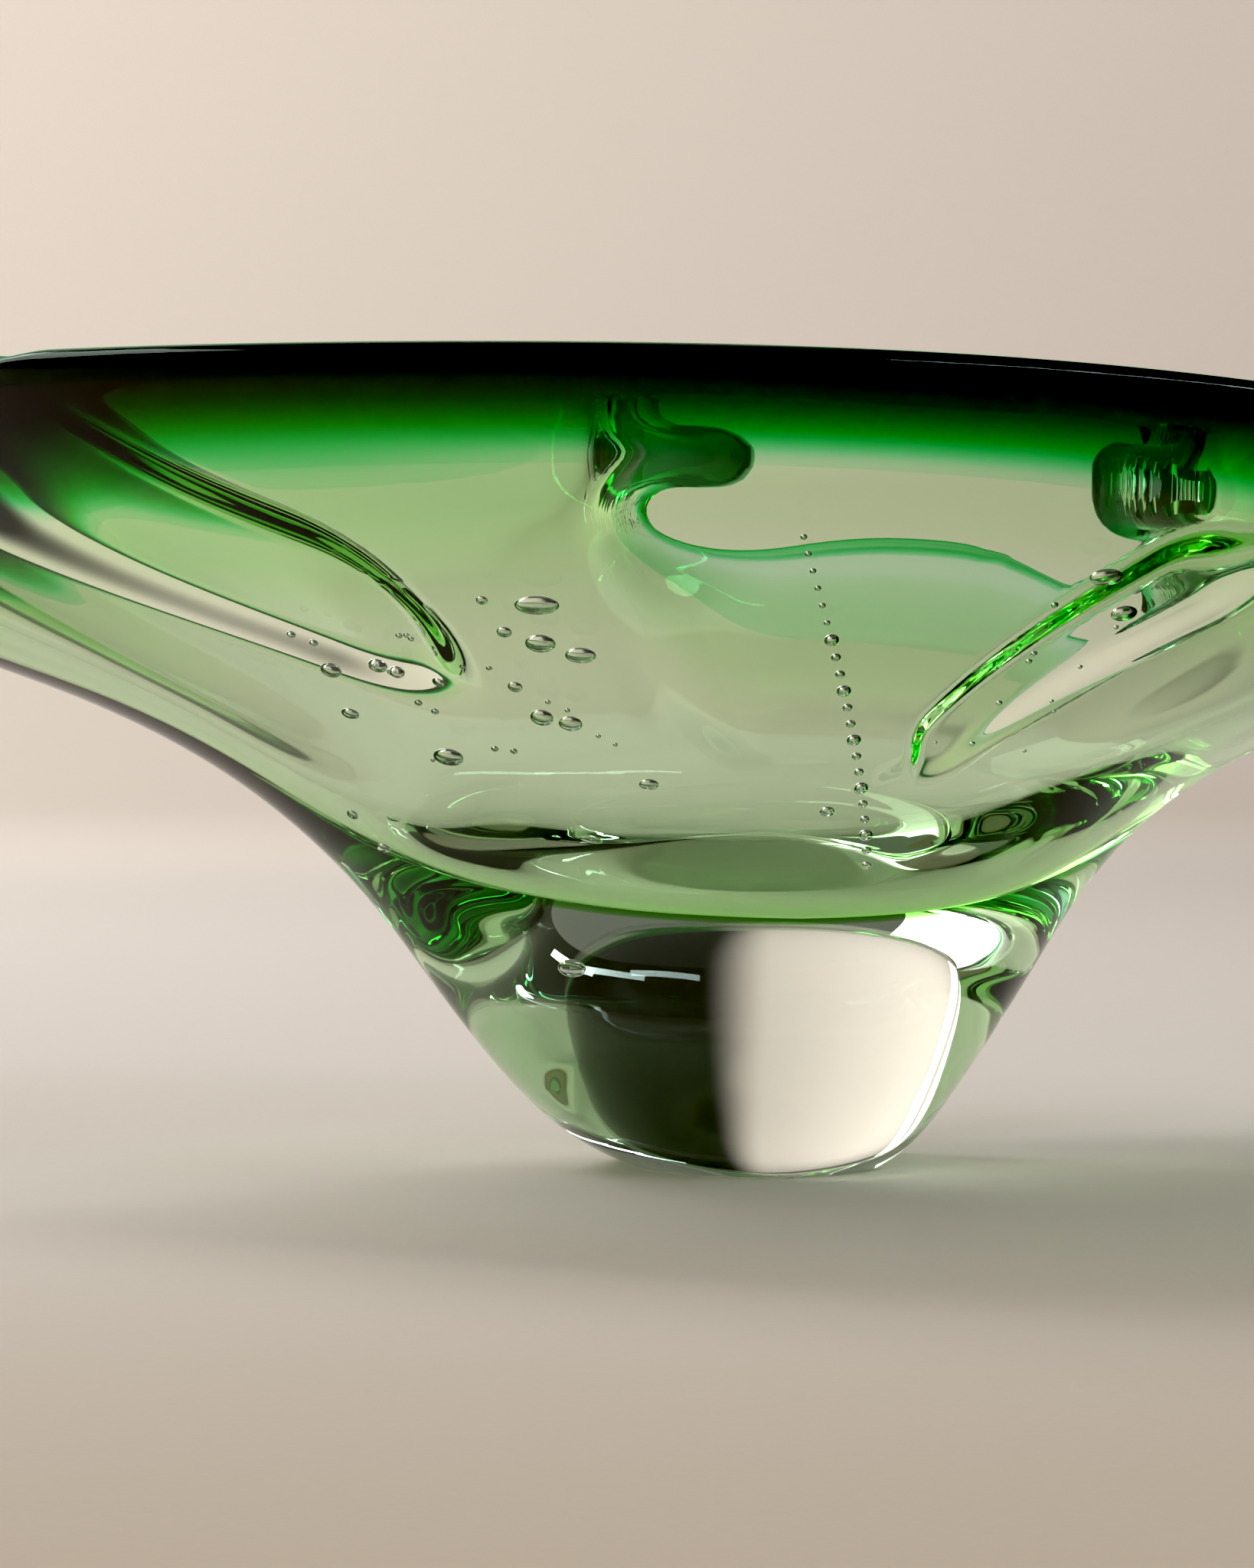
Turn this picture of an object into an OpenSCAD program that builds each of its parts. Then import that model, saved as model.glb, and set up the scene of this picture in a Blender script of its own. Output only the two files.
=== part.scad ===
// Cased art glass bowl: thick clear outer glass with a solid foot, a thin green layer
// lining the hollow, a dark green rounded lip, and air bubbles trapped in the wall.
// Origin: centre of the flat resting face. X runs along the length, Y across it, Z up.

/* [Overall] */
// Reach of the left wing from the foot centre, at the outside of the lip
left_reach = 150; // [135:1:165]
// Reach of the right wing from the foot centre, at the outside of the lip
right_reach = 136; // [122:1:150]
// Half of the bowl's width, at the outside of the lip
half_width = 82; // [76:1:90]
// Height of the lip's outer edge, just below its rounded top
rim_height = 95; // [88:1:102]

/* [Foot] */
// Half of the flat resting face's length
foot_half_length = 16; // [13:0.5:18]
// Half of the flat resting face's width
foot_half_width = 20; // [17:0.5:22]
// Thickness of solid clear glass under the hollow
floor_thickness = 35; // [31:0.5:38]

/* [Colour layers] */
// Thickness of the green layer at the bottom of the hollow
green_thickness = 1; // [0.8:0.1:1.6]
// Thickness of the green layer where it meets the dark lip
green_edge = 2.4; // [1.6:0.1:2.6]
// Part of the hollow's wall that the dark lip reaches down (1 is the whole wall)
lip_share = 0.10; // [0.08:0.01:0.16]
// How far the rounded lip stands beyond the wall
lip_crown = 6.5; // [5:0.5:8]

/* [Folds] */
// Depth of the four pinched folds, as a share of the radius
fold_depth = 0.11; // [0:0.01:0.13]
// How far the low stretch of the far rim drops
far_dip = 12; // [0:1:13]
// How much lower the whole far rim is than the near rim
far_tilt = 7; // [0:1:9]
// How far the two ridges stand into the hollow beside the near rim, as a share of the radius
ridge_depth = 0.05; // [0:0.01:0.06]

/* [Hidden] */
// Columns round the bowl, closer together where the rim curls and the wall is ridged
ANGLES = concat([for (i = [0:26]) 46 + 2 * i], [for (i = [0:29]) 100 + i * 10 / 3], [for (i = [0:14]) 200 + 3 * i],
                [for (i = [0:9]) 245 + 3.2 * i], [for (i = [0:7]) 277 + 3 * i], [for (i = [0:29]) 301 + 3.5 * i]);
NA = len(ANGLES);
N_OUT = 17;          // rows up the outside
N_IN = 15;           // rows up the hollow, below the dark lip
N_LIP = 8;           // rows over the rounded lip
N_EDGE = 6;          // rows along the face between casing and lip, and beside it in the hollow

// Outer profiles as [distance from the axis, height], from the edge of the resting face to the lip
OUT_L = [[0,0],[5,2],[10.5,6],[16.5,12],[23.5,21],[30.5,31],[39,40.5],[52,51],[69.5,60],[90,67],[111,75],[127,84.5],[134,95]];
OUT_R = [[0,0],[4,2.5],[8.5,8],[13.5,15],[19,23.5],[24.5,32.5],[32,42],[43,51],[58,58.5],[76,64.5],[97,72.5],[113,83],[120,95]];
OUT_S = [[0,0],[3,2],[5,7],[7,14],[9.5,23],[13,33],[18,43],[26,53],[35.5,62.5],[44.5,71.5],[52.5,80.5],[58.5,88],[62,95]];
// Profiles of the hollow as [distance from the axis, height above its lowest point]
IN_L = [[0,0],[12,0.6],[24,2.5],[36,5.5],[48,10.5],[59,17.5],[71,25.5],[85,32],[101,37.5],[117,43.5],[131,51],[140,59.5]];
IN_R = [[0,0],[9,0.6],[18,2.5],[26,6],[34,11],[43,16.5],[54,22.5],[67,28.5],[82,34.5],[99,41.5],[115,50],[126,59.5]];
IN_S = [[0,0],[8,1],[15.5,4],[22.5,9],[29,15],[35.5,21.5],[42,28],[48.5,34.5],[55,41],[61.5,47.5],[67.5,53.5],[72.5,59.5]];

// Smooth curve that follows a list of points, at u from 0 to 1
function curve(P, u) =
    let(n = len(P) - 1, a = u * n, i = min(floor(a), n - 1), f = a - i,
        p = P[i], q = P[i + 1],
        o = i > 0 ? P[i - 1] : 2 * p - q, r = i < n - 1 ? P[i + 2] : 2 * q - p)
    (pow(1 - f, 3) * o + (3 * pow(f, 3) - 6 * f * f + 4) * p + (-3 * pow(f, 3) + 3 * f * f + 3 * f + 1) * q + pow(f, 3) * r) / 6;
// Smooth bump of 1 at angle c, k sets how narrow it is
function bump(th, c, k) = exp(k * (cos(th - c) - 1));
function ease(x) = let(v = max(0, min(1, x))) v * v * v * (v * (6 * v - 15) + 10);

// Share of the radius that the pinched folds take away, growing towards the rim
function folds(th, t) =
    fold_depth * ease((t - 0.3) / 0.7) *
    (1.0 * bump(th, 207, 16) + 1.0 * bump(th, 148, 18) + 0.9 * bump(th, 331, 16) + 1.0 * bump(th, 36, 18));
// 1 along the low stretch of the far rim, 0 elsewhere
function dip(th) = let(a = th % 360) ease((a - 50) / 17) * ease((98 - a) / 17);
// Height that the rim loses round the bowl
function lift(th, t) =
    ease((t - 0.35) / 0.65) * (-far_dip * dip(th) - far_tilt * pow(0.5 + 0.5 * sin(th), 2) - 9 * bump(th, 322, 5));
// Curls at the two ends of the low stretch: [x, z, reach, turn, flatness]
CURLS = [[4, 79.8, 13, -125, 3.6], [62, 79, 9, 120, 2.4]];
// Turns a point of the far wall about the middle of one curl, less the farther off it is
function turned(p, c) =
    let(u = p[0] - c[0], w = (p[2] - c[1]) * c[4], a = c[3] * exp(-(u * u + w * w) / (c[2] * c[2])) * ease((p[1] - 25) / 25))
    [c[0] + u * cos(a) - w * sin(a), p[1], c[1] + (u * sin(a) + w * cos(a)) / c[4]];
function curl(p) = turned(turned(p, CURLS[0]), CURLS[1]);
// Ridges beside the near rim: [angle, share up the hollow] at both ends, radius, two edge widths, share of the depth
RIDGES = [[217, 0.98, 231, 0.75, 5, 4, 9, 1.7], [286, 0.5, 294, 0.8, 1.5, 4, 6, 0.8]];
function ridge(th, v, k) =
    let(a = (th % 360) - k[0], b = (v - k[1]) * 60, m = [k[2] - k[0], (k[3] - k[1]) * 60], n = norm(m), x = m[0] / n, y = m[1] / n,
        g = max(0, min(n, a * x + b * y)), p = a - g * x, q = b - g * y,
        side = max(0, min(1, 0.5 + 0.5 * (p * y - q * x) / k[4])))
    k[7] * ease(1 - (norm([p, q]) - k[4]) / (k[5] + (k[6] - k[5]) * side));

// Point on the outer skin
function outer(th, t) = curl(
    let(c = cos(th), s = sin(th), w = 0.5 + 0.5 * c,
        kl = (left_reach - foot_half_length) / 134, kr = (right_reach - foot_half_length) / 120,
        ks = (half_width - foot_half_width) / 62, kz = rim_height / 95,
        L = curve(OUT_L, t), R = curve(OUT_R, t), S = curve(OUT_S, t),
        W = [(foot_half_length + L[0] * kl) * (1 - w) + (foot_half_length + R[0] * kr) * w,
             (L[1] * (1 - w) + R[1] * w) * kz],
        d = 1 - folds(th, t))
    [W[0] * c * d,
     (foot_half_width + S[0] * ks) * s * (1 - 0.4 * t * c * c) * d,
     W[1] * c * c + S[1] * kz * s * s + lift(th, t)]);

// Point on the wall of the hollow
function hollow(th, v) = curl(
    let(c = cos(th), s = sin(th), w = 0.5 + 0.5 * c, te = 0.4 + 0.6 * v,
        kl = left_reach / 150, kr = right_reach / 136, ks = half_width / 82,
        L = curve(IN_L, v), R = curve(IN_R, v), S = curve(IN_S, v),
        W = [L[0] * kl * (1 - w) + R[0] * kr * w, L[1] * (1 - w) + R[1] * w],
        d = 1 - 1.15 * folds(th, te) - ridge_depth * (ridge(th, v, RIDGES[0]) + ridge(th, v, RIDGES[1])))
    [W[0] * c * d + 4 * (1 - v) * (1 - v),
     (S[0] * ks + 2.5 * dip(th) * ease((v - 0.3) / 0.7)) * s * (1 - 0.4 * v * c * c) * d,
     floor_thickness + green_thickness
       + (W[1] * c * c + S[1] * s * s) * (rim_height - floor_thickness - green_thickness) / 59.5
       + lift(th, te) * ease(v / 0.6)]);

function unit(v) = v / max(norm(v), 1e-9);
// Outward direction, away from the hollow
function away(th, v) = v < 0.02 ? [0, 0, -1] :
    let(a = hollow(th + 1, v) - hollow(th - 1, v), b = hollow(th, min(v + 0.01, 1)) - hollow(th, v - 0.01))
    unit(cross(b, a)) * -1;
V_LIP = 1 - lip_share;
function green_at(v) = green_thickness + (green_edge - green_thickness) * ease((v - 0.66) / 0.24);
// Point on the face between the clear casing and the green layer
function cased(th, v) = hollow(th, v) + away(th, v) * green_at(v);
// Point on the face between the clear casing and the dark lip, from the outside (0) to the green layer (1)
function lip_under(th, w) =
    let(v = V_LIP + lip_share * (1 - w), j = outer(th, 1) - hollow(th, 1), e = cased(th, V_LIP) - hollow(th, V_LIP))
    let(f = pow(1 - pow(min(1, w / (1 - 0.6 * dip(th))), 1.5), 1.6))
    hollow(th, v) + j * f + e * (1 - f);
// Point over the rounded lip, from the outside (0) to the hollow (1)
function lip_over(th, w) =
    let(p = outer(th, 1), q = hollow(th, 1), k = lip_crown * (1 - 0.9 * dip(th)),
        a = p + unit(p - outer(th, 0.96)) * k, b = q + unit(q - hollow(th, 0.96)) * k,
        m = 1 - w)
    m * m * m * p + 3 * m * m * w * a + 3 * m * w * w * b + w * w * w * q;

// Rings of points, each row one turn round the bowl
function ring(n, k) = [for (a = ANGLES) n == 0 ? outer(a, k) : n == 1 ? cased(a, k)
    : n == 2 ? hollow(a, k) : n == 3 ? lip_under(a, k) : lip_over(a, k)];
function flatten(l) = [for (a = l) for (b = a) b];
function band(r) = [for (i = [0:NA - 1]) let(a = r * NA + i, b = r * NA + (i + 1) % NA)
    each [[a, b, b + NA], [a, b + NA, a + NA]]];

// Rows are closer together low down, where the hollow turns most
OUTSIDE = [for (k = [0:N_OUT]) ring(0, k / N_OUT)];
UNDER_LIP = [for (k = [1:N_EDGE]) ring(3, k / N_EDGE)];
CASED = [for (k = [N_IN:-1:1]) ring(1, V_LIP * k / N_IN)];
HOLLOW = [for (k = [1:N_IN]) ring(2, V_LIP * k / N_IN)];
OVER_LIP = [for (k = [0:N_LIP]) ring(4, k / N_LIP)];
BESIDE_LIP = [for (k = [1:N_EDGE]) ring(2, 1 - lip_share * k / N_EDGE)];

// Closed skin over rings that start and end at a middle point
module capped(rows, first, last) {
    n = len(rows) * NA;
    polyhedron(
        points = concat(flatten(rows), [first, last]),
        faces = concat(
            [for (r = [0:len(rows) - 2]) each band(r)],
            [for (i = [0:NA - 1]) [n, (i + 1) % NA, i]],
            [for (i = [0:NA - 1]) let(o = (len(rows) - 1) * NA) [n + 1, o + i, o + (i + 1) % NA]]),
        convexity = 8);
}
// Closed skin over rings that run round and meet themselves
module looped(rows) {
    m = len(rows) * NA;
    polyhedron(
        points = flatten(rows),
        faces = concat(
            [for (r = [0:len(rows) - 2]) each band(r)],
            [for (i = [0:NA - 1]) let(o = (len(rows) - 1) * NA, a = o + i, b = o + (i + 1) % NA, c = i, d = (i + 1) % NA)
                each [[a, b, d], [a, d, c]]]),
        convexity = 8);
}

module clear_casing() {
    color("lavender", 0.4)
    capped(concat(OUTSIDE, UNDER_LIP, [for (k = [1:N_IN - 1]) CASED[k]]),
        [0, 0, 0], cased(0, 0));
}
module green_layer() {
    color("yellowgreen", 0.7)
    capped(concat([for (k = [N_IN - 1:-1:0]) CASED[k]], [for (k = [N_IN - 1:-1:0]) HOLLOW[k]]),
        cased(0, 0), hollow(0, 0));
}
module emerald_rim() {
    color("darkgreen")
    looped(concat(OVER_LIP, BESIDE_LIP, [for (k = [N_EDGE - 1:-1:0]) UNDER_LIP[k]]));
}

// A bubble sits at an angle, a share of the way up the hollow, and a depth in the clear wall
function in_wall(th, v, d) = cased(th, v) + away(th, v) * d;
module bubble(th, v, d, r) { translate(in_wall(th, v, d)) sphere(r = r, $fn = 24); }

module bubble_string() {
    color("white") for (k = [0:20]) bubble(267 + 0.29 * k + 0.02 * k * k, 0.82 - 0.027 * k, 2.5 + 0.13 * k, k < 6 ? 0.4 : k % 3 == 0 ? 0.9 : 0.6);
}
module bubble_cluster() {
    color("white") for (b = [[248.5, 0.71, 2.8, 1.6], [246.5, 0.65, 3, 1.5], [249, 0.63, 3.2, 1.3], [241, 0.53, 3.3, 1.4], [243.5, 0.52, 3.6, 1.3],
                             [244.5, 0.67, 2.9, 0.9], [245, 0.72, 2.6, 0.7], [236, 0.6, 4.5, 0.8], [241, 0.58, 2.8, 0.9]])
        bubble(b[0], b[1], b[2], b[3]);
}
module large_bubbles() {
    color("white") {
        for (b = [[226, 0.48, 4, 1.6], [248, 0.42, 4.5, 0.9], [271.5, 0.37, 4.5, 0.9], [287, 0.8, 2.6, 1.3], [290.5, 0.77, 3.2, 1.3],
                  [223, 0.62, 4.5, 1.3], [220, 0.56, 3.8, 1], [229.5, 0.65, 4.5, 1.2], [229.5, 0.61, 4.5, 1], [194, 0.41, 3.5, 0.8], [190, 0.36, 3.3, 0.9]])
            bubble(b[0], b[1], b[2], b[3]);
        translate([-24, -14, 27]) sphere(r = 1.7, $fn = 24);
    }
}
module seed_bubbles() {
    color("white") {
        for (k = [0:17]) bubble(222 + 26 * ((k * 0.618) % 1), 0.47 + 0.27 * ((k * 0.755) % 1), 2.2 + 1.8 * ((k * 0.57) % 1), 0.3 + 0.3 * ((k * 0.38) % 1));
        for (k = [0:11]) bubble(284 + 13 * ((k * 0.618) % 1), 0.5 + 0.32 * ((k * 0.755) % 1), 2 + 1.2 * ((k * 0.57) % 1), 0.25 + 0.25 * ((k * 0.38) % 1));
    }
}

clear_casing();
green_layer();
emerald_rim();
bubble_string();
bubble_cluster();
large_bubbles();
seed_bubbles();
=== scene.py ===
import math
import bpy
import numpy as np
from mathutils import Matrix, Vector


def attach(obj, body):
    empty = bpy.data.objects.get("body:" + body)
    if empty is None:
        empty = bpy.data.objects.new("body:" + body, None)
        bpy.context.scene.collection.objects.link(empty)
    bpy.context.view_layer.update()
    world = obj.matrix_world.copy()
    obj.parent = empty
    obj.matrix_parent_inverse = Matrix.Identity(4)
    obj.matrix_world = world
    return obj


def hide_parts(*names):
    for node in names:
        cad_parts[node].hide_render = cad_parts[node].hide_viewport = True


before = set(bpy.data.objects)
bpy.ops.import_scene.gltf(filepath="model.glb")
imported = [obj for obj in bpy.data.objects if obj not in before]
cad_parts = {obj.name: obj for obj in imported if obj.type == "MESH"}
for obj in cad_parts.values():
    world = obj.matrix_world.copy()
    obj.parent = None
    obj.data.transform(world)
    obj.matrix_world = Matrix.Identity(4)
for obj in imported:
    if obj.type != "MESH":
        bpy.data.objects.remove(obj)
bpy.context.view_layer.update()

MM = 0.001

# ---------------------------------------------------------------- the bowl's surfaces, as in the CAD model
LEFT, RIGHT, HALF_W, RIM_H = 150.0, 136.0, 82.0, 95.0
FOOT_L, FOOT_W, FLOOR = 16.0, 20.0, 35.0
GREEN, GREEN_EDGE, LIP_SHARE, CROWN = 1.0, 2.4, 0.10, 6.5
FOLD, FAR_DIP, FAR_TILT, PLEAT = 0.11, 12.0, 7.0, 0.05
OUT_L = [[0,0],[5,2],[10.5,6],[16.5,12],[23.5,21],[30.5,31],[39,40.5],[52,51],[69.5,60],[90,67],[111,75],[127,84.5],[134,95]]
OUT_R = [[0,0],[4,2.5],[8.5,8],[13.5,15],[19,23.5],[24.5,32.5],[32,42],[43,51],[58,58.5],[76,64.5],[97,72.5],[113,83],[120,95]]
OUT_S = [[0,0],[3,2],[5,7],[7,14],[9.5,23],[13,33],[18,43],[26,53],[35.5,62.5],[44.5,71.5],[52.5,80.5],[58.5,88],[62,95]]
IN_L = [[0,0],[12,0.6],[24,2.5],[36,5.5],[48,10.5],[59,17.5],[71,25.5],[85,32],[101,37.5],[117,43.5],[131,51],[140,59.5]]
IN_R = [[0,0],[9,0.6],[18,2.5],[26,6],[34,11],[43,16.5],[54,22.5],[67,28.5],[82,34.5],[99,41.5],[115,50],[126,59.5]]
IN_S = [[0,0],[8,1],[15.5,4],[22.5,9],[29,15],[35.5,21.5],[42,28],[48.5,34.5],[55,41],[61.5,47.5],[67.5,53.5],[72.5,59.5]]


def curve(pts, u):
    """Cubic B-spline through the ends of a list of points."""
    pts = np.asarray(pts, float)
    n = len(pts) - 1
    a = u * n
    i = min(int(math.floor(a)), n - 1)
    f = a - i
    p, q = pts[i], pts[i + 1]
    o = pts[i - 1] if i > 0 else 2 * p - q
    r = pts[i + 2] if i < n - 1 else 2 * q - p
    return ((1 - f) ** 3 * o + (3 * f**3 - 6 * f * f + 4) * p + (-3 * f**3 + 3 * f * f + 3 * f + 1) * q + f**3 * r) / 6


def bump(th, c, k):
    return np.exp(k * (np.cos(np.radians(th - c)) - 1))


def ease(x):
    v = np.clip(x, 0, 1)
    return v**3 * (v * (6 * v - 15) + 10)


def dip(th):
    """1 along the low stretch of the far rim, 0 elsewhere."""
    a = np.mod(th, 360)
    return ease((a - 50) / 17) * ease((98 - a) / 17)


CURLS = [(4.0, 79.8, 13.0, -125.0, 3.6), (62.0, 79.0, 9.0, 120.0, 2.4)]   # x, z, reach, turn and flatness of the curls in the far rim


def curl(p):
    """Turns the far wall about two points beside its dip, so that the rim curls over there."""
    x, y, z = p[..., 0], p[..., 1], p[..., 2]
    for cx, cz, reach, turn, k in CURLS:
        u, w = x - cx, (z - cz) * k
        a = np.radians(turn) * np.exp(-(u * u + w * w) / reach**2) * ease((y - 25) / 25)
        x, z = cx + u * np.cos(a) - w * np.sin(a), cz + (u * np.sin(a) + w * np.cos(a)) / k
    return np.stack([x, y, z], -1)


def folds(th, t):
    return FOLD * ease((t - 0.3) / 0.7) * (bump(th, 207, 16) + bump(th, 148, 18) + 0.9 * bump(th, 331, 16) + bump(th, 36, 18))


PLEATS = [(217, 0.98, 231, 0.75, 5.0, 4.0, 9.0, 1.7), (286, 0.5, 294, 0.8, 1.5, 4.0, 6.0, 0.8)]   # ends, radius, two edge widths, share


def pleats(th, v):
    """Ridges pressed into the hollow beside the near rim, each round a line between two places on the wall."""
    out = 0.0
    for t0, v0, t1, v1, rad, e0, e1, share in PLEATS:
        a = np.mod(th, 360) - t0
        b = (v - v0) * 60
        ax, bx = t1 - t0, (v1 - v0) * 60
        n = math.hypot(ax, bx)
        ax, bx = ax / n, bx / n
        along = np.clip(a * ax + b * bx, 0, n)
        da, db = a - along * ax, b - along * bx
        side = np.clip(0.5 + 0.5 * (da * bx - db * ax) / rad, 0, 1)   # 0 on the upper side, 1 on the lower
        out = out + share * ease(1 - (np.hypot(da, db) - rad) / (e0 + (e1 - e0) * side))
    return out


def lift(th, t):
    return ease((t - 0.35) / 0.65) * (-FAR_DIP * dip(th) - FAR_TILT * (0.5 + 0.5 * np.sin(np.radians(th))) ** 2 - 9 * bump(th, 322, 5))


def outer_raw(th, t):
    c, s = np.cos(np.radians(th)), np.sin(np.radians(th))
    w = 0.5 + 0.5 * c
    kl, kr, ks, kz = (LEFT - FOOT_L) / 134, (RIGHT - FOOT_L) / 120, (HALF_W - FOOT_W) / 62, RIM_H / 95
    L, R, S = curve(OUT_L, t), curve(OUT_R, t), curve(OUT_S, t)
    wx = (FOOT_L + L[0] * kl) * (1 - w) + (FOOT_L + R[0] * kr) * w
    wz = (L[1] * (1 - w) + R[1] * w) * kz
    d = 1 - folds(th, t)
    return np.stack([wx * c * d, (FOOT_W + S[0] * ks) * s * (1 - 0.4 * t * c * c) * d, wz * c * c + S[1] * kz * s * s + lift(th, t)], -1)


def hollow_raw(th, v):
    c, s = np.cos(np.radians(th)), np.sin(np.radians(th))
    w, te = 0.5 + 0.5 * c, 0.4 + 0.6 * v
    L, R, S = curve(IN_L, v), curve(IN_R, v), curve(IN_S, v)
    wx = L[0] * LEFT / 150 * (1 - w) + R[0] * RIGHT / 136 * w
    wz = L[1] * (1 - w) + R[1] * w
    d = 1 - 1.15 * folds(th, te) - PLEAT * pleats(th, v)
    return np.stack([
        wx * c * d + 4 * (1 - v) ** 2,
        (S[0] * HALF_W / 82 + 2.5 * dip(th) * ease((v - 0.3) / 0.7)) * s * (1 - 0.4 * v * c * c) * d,
        FLOOR + GREEN + (wz * c * c + S[1] * s * s) * (RIM_H - FLOOR - GREEN) / 59.5 + lift(th, te) * ease(v / 0.6)], -1)


def outer(th, t):
    return curl(outer_raw(th, t))


def hollow(th, v):
    return curl(hollow_raw(th, v))


def unit(a):
    return a / np.maximum(np.linalg.norm(a, axis=-1, keepdims=True), 1e-9)


def away(th, v):
    down = np.broadcast_to(np.array([0.0, 0.0, -1.0]), (len(th), 3))
    if v < 0.004:
        return down
    a = hollow(th + 1, v) - hollow(th - 1, v)
    hi = min(v + 0.01, 1)
    b = hollow(th, hi) - hollow(th, max(v - 0.01, 0.0))
    return -unit(np.cross(b, a))


V_LIP = 1 - LIP_SHARE


def green_at(th, v):
    """The green layer thickens towards the rim, and runs out inside the dark lip."""
    g = GREEN + (GREEN_EDGE - GREEN) * ease((v - 0.66) / 0.24)
    return (g * (1 - 0.98 * ease((v - V_LIP - 0.06 * dip(th)) / (0.09 - 0.05 * dip(th)))))[:, None]


def cased(th, v):
    return hollow(th, v) + away(th, v) * green_at(th, v)


def lip_under(th, w):
    v = V_LIP + LIP_SHARE * (1 - w)
    j = outer(th, 1) - hollow(th, 1)
    e = unit(cased(th, V_LIP) - hollow(th, V_LIP)) * 0.01
    f = ((1 - np.clip(w / (1 - 0.94 * dip(th)), 0, 1) ** 1.3) ** 2.7)[:, None]
    return hollow(th, v) + j * f + e * (1 - f)


def lip_over(th, w):
    p, q = outer(th, 1), hollow(th, 1)
    k = (CROWN * (1 - 0.9 * dip(th)))[:, None]
    a = p + unit(p - outer(th, 0.96)) * k
    b = q + unit(q - hollow(th, 0.96)) * k
    m = 1 - w
    return m**3 * p + 3 * m * m * w * a + 3 * m * w * w * b + w**3 * q


# ---------------------------------------------------------------- mesh building
K = 2


def columns():
    """Angles of the mesh's columns, closer together at the curls and the ridges."""
    out, a = [], 46.0
    while a < 405.99:
        out.append(a)
        b = a % 360
        step = 0.25 if b < 104 and b >= 46 else 0.5 if 205 < b < 246 or 278 < b < 304 else 1.2
        a += step * 1
    return np.array(out)


TH = columns()
NA = len(TH)


def skin(name, rows, first=None, last=None, loop=False):
    """A closed skin over rings of points, capped at middle points or meeting itself. Millimetres in."""
    rows = [np.asarray(r) for r in rows]
    pts = np.concatenate(rows)
    faces = []
    i = np.arange(NA)
    j = (i + 1) % NA
    pairs = [(r * NA, (r + 1) * NA) for r in range(len(rows) - 1)]
    if loop:
        pairs.append(((len(rows) - 1) * NA, 0))
    for a, b in pairs:
        faces += np.stack([a + i, a + j, b + j, b + i], -1).tolist()
    n = len(pts)
    if first is not None:
        pts = np.concatenate([pts, [first]])
        faces += np.stack([np.full(NA, n), j, i], -1).tolist()
        n += 1
    if last is not None:
        pts = np.concatenate([pts, [last]])
        o = (len(rows) - 1) * NA
        faces += np.stack([np.full(NA, n), o + i, o + j], -1).tolist()
    me = bpy.data.meshes.new(name)
    me.from_pydata((pts * MM).tolist(), [], faces)
    me.update()
    ob = bpy.data.objects.new(name, me)
    bpy.context.scene.collection.objects.link(ob)
    outward(me)
    me.polygons.foreach_set("use_smooth", [True] * len(me.polygons))
    return ob


def volume_of(me):
    me.calc_loop_triangles()
    co = np.empty(len(me.vertices) * 3)
    me.vertices.foreach_get("co", co)
    co = co.reshape(-1, 3)
    t = np.empty(len(me.loop_triangles) * 3, int)
    me.loop_triangles.foreach_get("vertices", t)
    t = t.reshape(-1, 3)
    return float(np.einsum("ij,ij->i", co[t[:, 0]], np.cross(co[t[:, 1]], co[t[:, 2]])).sum() / 6)


def outward(me):
    if volume_of(me) < 0:
        me.flip_normals()
        me.update()


def rows(fn, a, b, n):
    return [fn(TH, a + (b - a) * k / n) for k in range(n + 1)]


# ---------------------------------------------------------------- materials
def material(name):
    m = bpy.data.materials.new(name)
    m.use_nodes = True
    m.node_tree.nodes.clear()
    return m, m.node_tree


def glass(name, ior, absorb=None, density=0.0, rough=0.0, base=(1, 1, 1)):
    m, nt = material(name)
    out = nt.nodes.new("ShaderNodeOutputMaterial")
    p = nt.nodes.new("ShaderNodeBsdfPrincipled")
    p.inputs["Base Color"].default_value = (*base, 1)
    p.inputs["Roughness"].default_value = rough
    p.inputs["IOR"].default_value = ior
    p.inputs["Transmission Weight"].default_value = 1.0
    nt.links.new(p.outputs[0], out.inputs["Surface"])
    if absorb is not None:
        v = nt.nodes.new("ShaderNodeVolumeAbsorption")
        d = max(absorb)
        v.inputs["Color"].default_value = (*[1 - a / d for a in absorb], 1)
        v.inputs["Density"].default_value = d
        nt.links.new(v.outputs[0], out.inputs["Volume"])
    return m


CLEAR = glass("clear_glass", 1.5, (1.6, 0.5, 1.1))
PALE = glass("pale_green_glass", 1.0, (120, 32, 165))
EMERALD = glass("emerald_glass", 1.0, (4000, 560, 2300))

# ---------------------------------------------------------------- glass pieces
SKIN = 0.02  # the coloured layers stand this far proud of the clear body, so no two faces coincide


def proud(th, v, d=SKIN):
    return hollow(th, v) - away(th, v) * d


body = skin(
    "clear_body",
    rows(outer, 0, 1, 60 * K) + rows(lip_over, 0, 1, 16 * K)[1:] + rows(hollow, 1, 0, 60 * K)[1:-1],
    first=(0, 0, 0), last=hollow(TH[:1], 0)[0])
body.data.materials.append(CLEAR)
body.data.set_sharp_from_angle(angle=math.radians(18))
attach(body, "root")
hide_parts("clear_casing")

green = skin(
    "green_lining",
    rows(cased, 0, 0.98, 50 * K)[1:] + rows(lambda th, v: proud(th, v), 0.98, 0, 50 * K)[:-1],
    first=cased(TH[:1], 0)[0], last=proud(TH[:1], 0)[0])
green.data.materials.append(PALE)
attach(green, "root")
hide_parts("green_layer")


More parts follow.
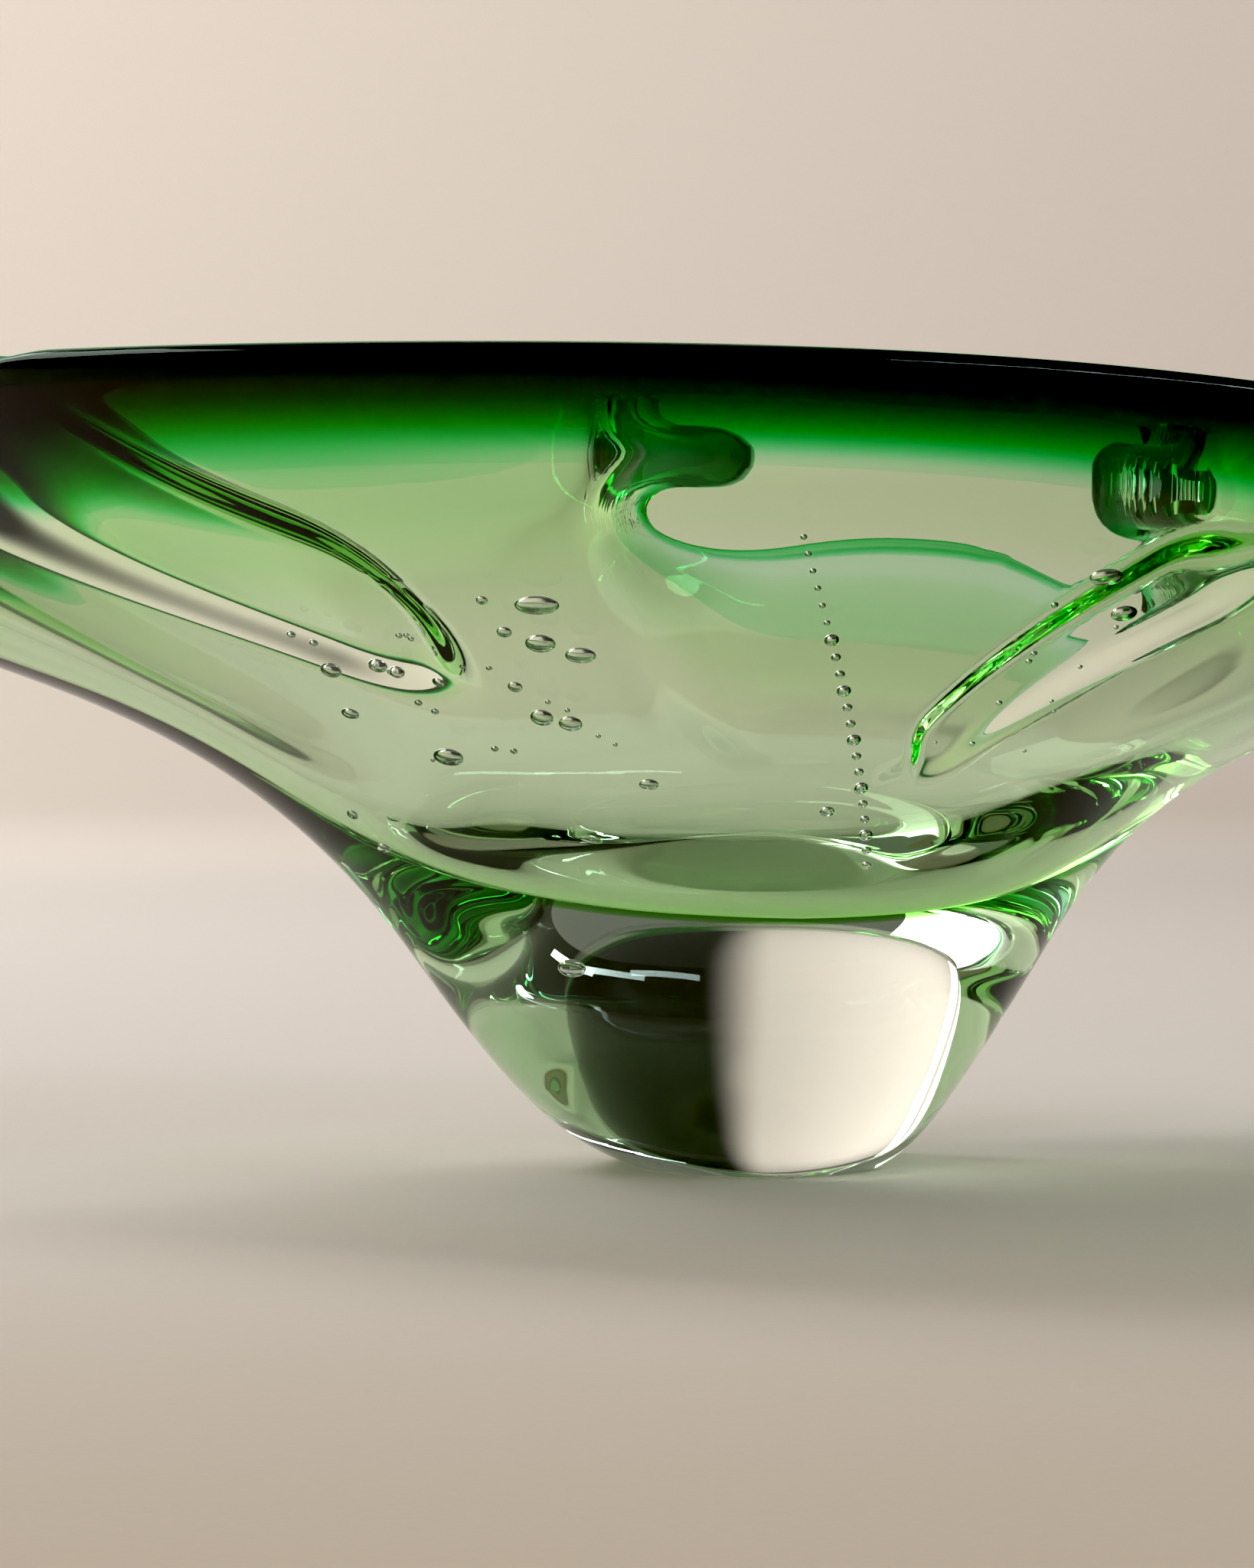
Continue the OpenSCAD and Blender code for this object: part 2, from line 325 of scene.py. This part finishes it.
def lip_proud(th, w, d=SKIN):
    e = 0.004
    a = lip_over(th + 1, w) - lip_over(th - 1, w)
    b = lip_over(th, min(w + e, 1)) - lip_over(th, max(w - e, 0))
    return lip_over(th, w) + unit(np.cross(a, b)) * d


lip = skin(
    "emerald_lip",
    rows(lip_proud, 0, 1, 16 * K) + rows(lambda th, v: proud(th, v, SKIN * 2), 1, V_LIP, 16 * K)[1:]
    + rows(lip_under, 1, 0, 24 * K), loop=True)
lip.data.materials.append(EMERALD)
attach(lip, "root")
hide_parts("emerald_rim")

# ---------------------------------------------------------------- trapped bubbles
BUB, bnt = material("air_bubble")
_o = bnt.nodes.new("ShaderNodeOutputMaterial")
_p = bnt.nodes.new("ShaderNodeBsdfPrincipled")
_p.inputs["Roughness"].default_value = 0.0
_p.inputs["IOR"].default_value = 1.5
_p.inputs["Transmission Weight"].default_value = 1.0
bnt.links.new(_p.outputs[0], _o.inputs["Surface"])


def bubbles(name, node, items):
    """items: centre in mm, three half-axes in mm, and the axis that the flat side faces."""
    verts, faces = [], []
    nu, nv = 24, 14
    for c, (rx, ry, rz), n in items:
        n = Vector(n).normalized()
        q = n.to_track_quat("Z", "Y")
        base = len(verts)
        verts.append(Vector(c) + q @ Vector((0, 0, rz)))
        for a in range(1, nv):
            for b in range(nu):
                f, g = math.pi * a / nv, 2 * math.pi * b / nu
                verts.append(Vector(c) + q @ Vector((rx * math.sin(f) * math.cos(g), ry * math.sin(f) * math.sin(g), rz * math.cos(f))))
        verts.append(Vector(c) + q @ Vector((0, 0, -rz)))
        top, bot = base, base + 1 + (nv - 1) * nu
        for b in range(nu):
            faces.append((top, base + 1 + (b + 1) % nu, base + 1 + b))
            o = base + 1 + (nv - 2) * nu
            faces.append((bot, o + b, o + (b + 1) % nu))
            for a in range(nv - 2):
                r0, r1 = base + 1 + a * nu, base + 1 + (a + 1) * nu
                faces.append((r0 + b, r0 + (b + 1) % nu, r1 + (b + 1) % nu, r1 + b))
    me = bpy.data.meshes.new(name)
    me.from_pydata([tuple(v * MM) for v in verts], [], faces)
    me.update()
    me.polygons.foreach_set("use_smooth", [True] * len(me.polygons))
    if volume_of(me) > 0:   # a pocket of air: its skin faces inward, from glass to air
        me.flip_normals()
        me.update()
    ob = bpy.data.objects.new(name, me)
    bpy.context.scene.collection.objects.link(ob)
    me.materials.append(BUB)
    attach(ob, "root")
    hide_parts(node)
    return ob


def in_wall(th, v, d):
    t = np.array([float(th)])
    n = away(t, v)[0]
    return cased(t, v)[0] + n * d, n


def wall_bubbles(spec, flat=0.55):
    return [(c, (r * w, r, r * flat), n) for (th, v, d, r, w) in spec for c, n in [in_wall(th, v, d)]]


bubbles("bubble_string", "bubble_string",
        wall_bubbles([(267 + 0.29 * k + 0.02 * k * k, 0.82 - 0.027 * k, 2.5 + 0.13 * k, 0.4 if k < 6 else 0.9 if k % 3 == 0 else 0.6, 1.0) for k in range(21)], 0.9))
bubbles("bubble_cluster", "bubble_cluster",
        wall_bubbles([(248.5, .71, 2.8, 1.5, 1.75), (246.5, .65, 3, 1.5, 1.2), (249, .63, 3.2, 1.3, 1.4), (241, .53, 3.3, 1.4, 1), (243.5, .52, 3.6, 1.3, 1.1),
                      (244.5, .67, 2.9, .9, 1), (245, .72, 2.6, .7, 1), (236, .6, 4.5, .8, 1), (241, .58, 2.8, .9, 1)], 0.4))
bubbles("large_bubbles", "large_bubbles",
        wall_bubbles([(226, .48, 4, 1.5, 1.3), (248, .42, 4.5, .9, 1.3), (271.5, .37, 4.5, .9, 1), (287, .8, 2.6, 1.3, 1.6), (290.5, .77, 3.2, 1.3, 1.4),
                      (223, .62, 4.5, 1.3, 1), (220, .56, 3.8, 1, 1.2), (229.5, .65, 4.5, 1.2, 1), (229.5, .61, 4.5, 1, 1), (194, .41, 3.5, .8, 1), (190, .36, 3.3, .9, 1.2)])
        + [((-24, -14, 27), (1.8, 1.2, 1.0), (0, -1, 0.2))])
fr = lambda x: x - math.floor(x)
bubbles("seed_bubbles", "seed_bubbles",
        wall_bubbles([(222 + 26 * fr(k * .618), .47 + .27 * fr(k * .755), 2.2 + 1.8 * fr(k * .57), .3 + .3 * fr(k * .38), 1) for k in range(18)]
                     + [(284 + 13 * fr(k * .618), .5 + .32 * fr(k * .755), 2 + 1.2 * fr(k * .57), .25 + .25 * fr(k * .38), 1) for k in range(12)], 0.85))

# ---------------------------------------------------------------- stage
def sweep():
    """Round sweep: a flat pale floor that curves up into a wall all the way round, palest behind the bowl; painted
    shade darkens the wall to the right and in front, and the floor in front of the bowl.
    """
    prof = [(0.25, 0.0), (0.8, 0.0), (1.4, 0.0), (1.9, 0.0)]
    prof += [(1.9 + 1.1 * math.sin(a), 1.1 - 1.1 * math.cos(a)) for a in [math.pi / 2 * k / 14 for k in range(1, 15)]]
    prof += [(3.0, 1.7), (3.0, 2.3), (3.0, 2.9)]
    n = 96
    verts = [(r * math.cos(2 * math.pi * i / n), r * math.sin(2 * math.pi * i / n), z - 0.0002) for r, z in prof for i in range(n)]
    verts.append((0, 0, -0.0002))
    faces = [(len(verts) - 1, i, (i + 1) % n) for i in range(n)]
    for k in range(len(prof) - 1):
        faces += [(k * n + i, (k + 1) * n + i, (k + 1) * n + (i + 1) % n, k * n + (i + 1) % n) for i in range(n)]
    me = bpy.data.meshes.new("sweep")
    me.from_pydata(verts, [], faces)
    me.polygons.foreach_set("use_smooth", [True] * len(me.polygons))
    me.update()
    ob = bpy.data.objects.new("sweep", me)
    bpy.context.scene.collection.objects.link(ob)
    m, nt = material("pale_sweep")
    N, link = nt.nodes.new, nt.links.new
    out, p = N("ShaderNodeOutputMaterial"), N("ShaderNodeBsdfPrincipled")
    p.inputs["Roughness"].default_value = 0.9
    p.inputs["Specular IOR Level"].default_value = 0.1
    tex, noi, ramp = N("ShaderNodeTexCoord"), N("ShaderNodeTexNoise"), N("ShaderNodeValToRGB")
    noi.inputs["Scale"].default_value = 900
    noi.inputs["Detail"].default_value = 4
    ramp.color_ramp.elements[0].color = (*[0.95 * v for v in PAPER], 1)
    ramp.color_ramp.elements[1].color = (*PAPER, 1)
    link(tex.outputs["Object"], noi.inputs["Vector"])
    link(noi.outputs["Fac"], ramp.inputs["Fac"])
    # painted shade: the wall is painted darker to the right and in front, well above the floor, to stand in for an
    # unlit room
    sep = N("ShaderNodeSeparateXYZ")
    link(tex.outputs["Object"], sep.inputs[0])
    side = N("ShaderNodeMapRange")
    side.interpolation_type = "SMOOTHSTEP"
    side.inputs["From Min"].default_value, side.inputs["From Max"].default_value = SIDE_FROM, SIDE_TO
    dot = N("ShaderNodeVectorMath")
    dot.operation = "DOT_PRODUCT"
    dot.inputs[1].default_value = PAINTED_SHADE_WAY
    link(tex.outputs["Object"], dot.inputs[0])
    link(dot.outputs["Value"], side.inputs["Value"])
    high = N("ShaderNodeMapRange")
    high.interpolation_type = "SMOOTHSTEP"
    high.inputs["From Min"].default_value, high.inputs["From Max"].default_value = 0.56, 0.72
    link(sep.outputs["Z"], high.inputs["Value"])
    painted_shade_mask = N("ShaderNodeMath")
    painted_shade_mask.operation = "MULTIPLY"
    link(side.outputs[0], painted_shade_mask.inputs[0])
    link(high.outputs[0], painted_shade_mask.inputs[1])
    mix = N("ShaderNodeMix")
    mix.data_type = "RGBA"
    link(painted_shade_mask.outputs[0], mix.inputs[0])
    link(ramp.outputs[0], mix.inputs[6])
    mix.inputs[7].default_value = (*WALL_PAINTED_SHADE, 1)
    # painted shade: the floor in front of the bowl is painted a little darker and warmer than the lamps leave it
    front = N("ShaderNodeMapRange")
    front.interpolation_type = "SMOOTHSTEP"
    away = N("ShaderNodeMath")
    away.operation = "MULTIPLY"
    away.inputs[1].default_value = -1.0
    link(sep.outputs["Y"], away.inputs[0])
    front.inputs["From Min"].default_value, front.inputs["From Max"].default_value = -0.04, 0.40
    front.inputs["To Min"].default_value, front.inputs["To Max"].default_value = 0.0, 1.0
    link(away.outputs[0], front.inputs["Value"])
    front_shade_mix = N("ShaderNodeMix")
    front_shade_mix.data_type, front_shade_mix.blend_type = "RGBA", "MULTIPLY"
    link(front.outputs[0], front_shade_mix.inputs[0])
    link(mix.outputs[2], front_shade_mix.inputs[6])
    front_shade_mix.inputs[7].default_value = (*FRONT_SHADE_TINT, 1)
    link(front_shade_mix.outputs[2], p.inputs["Base Color"])
    link(p.outputs[0], out.inputs["Surface"])
    me.materials.append(m)
    return ob


PAPER = (0.74, 0.68, 0.62)
# painted shade: the colour the wall is painted on its unlit side
WALL_PAINTED_SHADE = (0.012, 0.014, 0.011)
# painted shade tint for the floor in front of the bowl
FRONT_SHADE_TINT = (0.86, 0.78, 0.67)
PAINTED_SHADE_WAY = (math.sin(math.radians(100)), math.cos(math.radians(100)), 0.0)   # azimuth where the painted shade on the wall is darkest
SIDE_FROM, SIDE_TO = -0.1, 0.4
sweep()


def area(name, az, el, dist, size, size_y, power, color=(1, 1, 1), aim=(0, 0, 0.06), spread=180):
    """Soft box at an azimuth (0 is straight behind the bowl, 90 to the right) and elevation from the bowl."""
    l = bpy.data.lights.new(name, "AREA")
    l.energy, l.color, l.shape = power, color, "RECTANGLE"
    l.size, l.size_y = size, size_y
    l.spread = math.radians(spread)
    o = bpy.data.objects.new(name, l)
    bpy.context.scene.collection.objects.link(o)
    a, e = math.radians(az), math.radians(el)
    o.location = (dist * math.sin(a) * math.cos(e), dist * math.cos(a) * math.cos(e), dist * math.sin(e))
    o.rotation_euler = (Vector(aim) - o.location).to_track_quat("-Z", "Y").to_euler()
    return o


WARM = (1.0, 0.96, 0.92)
area("overhead", -72, 46, 1.9, 1.3, 1.3, 16, WARM)
area("wall_wash", -60, 50, 2.2, 1.0, 1.0, 45, WARM, aim=(-0.6, 3.0, 1.4), spread=138)
area("window_a", -34, 40, 1.7, 0.16, 0.75, 7, (0.97, 0.99, 1.0))
area("window_b", -44, 40, 1.7, 0.16, 0.75, 7, (0.97, 0.99, 1.0))
area("strip_front_a", 106, 38, 1.6, 0.6, 0.08, 1.4, (0.8, 0.9, 1.0))
area("strip_front_b", 128, 39, 1.6, 0.6, 0.08, 1.6, (0.8, 0.9, 1.0))
area("strip_front_c", 150, 41, 1.6, 0.6, 0.08, 1.6, (0.8, 0.9, 1.0))

world = bpy.data.worlds.new("studio")
bpy.context.scene.world = world
world.use_nodes = True
world.node_tree.nodes["Background"].inputs[0].default_value = (1.0, 0.94, 0.88, 1)
world.node_tree.nodes["Background"].inputs[1].default_value = 0.16

# ---------------------------------------------------------------- camera
D, H, FPX = 0.65, 0.060, 6700.0
AZ = math.radians(-10)
cam = bpy.data.cameras.new("camera")
cam.sensor_fit = "AUTO"
cam.sensor_width = 36
cam.lens = 36 * FPX / 2048
cam.clip_start = 0.02
cam_ob = bpy.data.objects.new("camera", cam)
bpy.context.scene.collection.objects.link(cam_ob)
cam_ob.location = (D * math.sin(AZ), -D * math.cos(AZ), H)
yaw = math.atan2(985 - 819, FPX)       # the foot stands right of the picture's middle
pitch = math.atan2(1024 - 900, FPX)    # and the horizon above it
cam_ob.rotation_euler = (math.pi / 2 - pitch, 0, AZ + yaw)
bpy.context.scene.camera = cam_ob

sc = bpy.context.scene
sc.view_settings.view_transform = "Standard"
sc.view_settings.look = "None"
sc.view_settings.use_curve_mapping = True   # a camera's deep blacks
sc.view_settings.curve_mapping.black_level = (0.021, 0.021, 0.021)
c = sc.cycles
c.max_bounces = 32
c.transmission_bounces = 28
c.glossy_bounces = 12
c.diffuse_bounces = 3
c.transparent_max_bounces = 16
c.volume_bounces = 0
c.caustics_refractive = True
c.caustics_reflective = True
c.blur_glossy = 0.3
c.sample_clamp_indirect = 6.0
c.use_denoising = True
